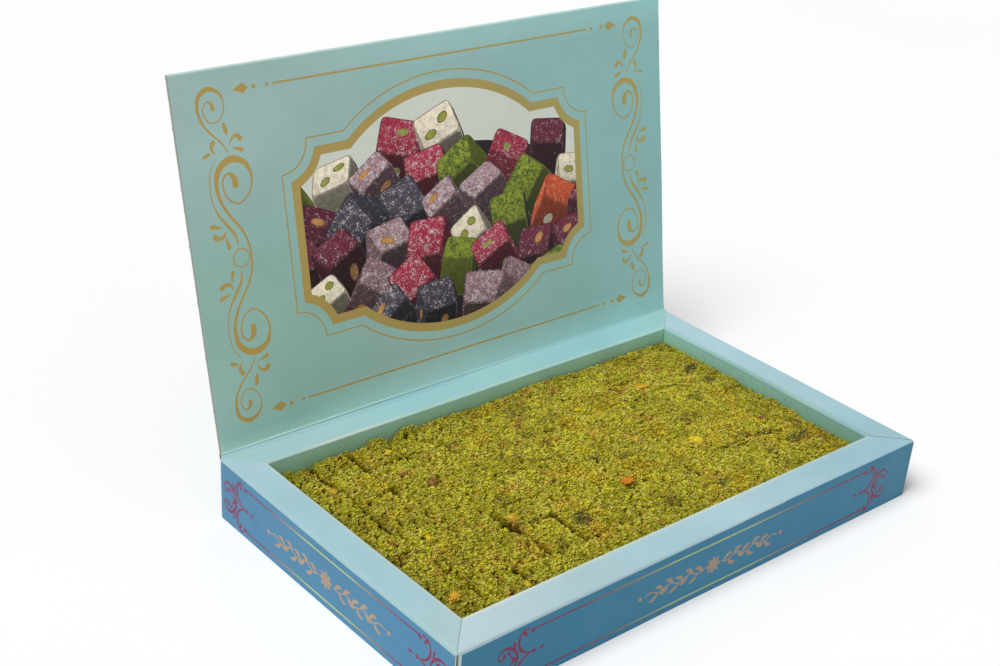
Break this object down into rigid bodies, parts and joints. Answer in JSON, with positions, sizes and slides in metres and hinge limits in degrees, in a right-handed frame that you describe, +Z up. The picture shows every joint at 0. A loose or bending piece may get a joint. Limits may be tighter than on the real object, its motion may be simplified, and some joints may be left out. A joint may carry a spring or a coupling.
{
  "type": "box of turkish delight",
  "caption": "Shallow cardboard gift tray with hollow folded walls, packed edge to edge with pistachio-coated Turkish delight cubes, its flat creased lid standing open.",
  "frame": {"origin": "middle of the tray's underside, on the surface it stands on", "axes": "+Z up, +X along the front wall to the right, +Y from the front wall to the lid's crease"},
  "size_m": [0.3, 0.2177, 0.2095],
  "materials": {
    "plain_board": "matte",
    "tray_board": "satin",
    "lid_board": "satin",
    "pistachio_lokum": "matte"
  },
  "bodies": {
    "tray": {"base_panel": "plain_board", "wall_front": "tray_board", "wall_right": "tray_board", "wall_back": "tray_board", "wall_left": "tray_board", "lokum_bed": "pistachio_lokum"},
    "lid": {"lid": "lid_board"}
  },
  "joints": [
    {"name": "lid_crease", "type": "hinge", "parent": "tray", "child": "lid", "pos_m": [0, 0.09, 0.0333], "axis": [1, 0, 0], "range_deg": [-78.5, 101.5]}
  ]
}
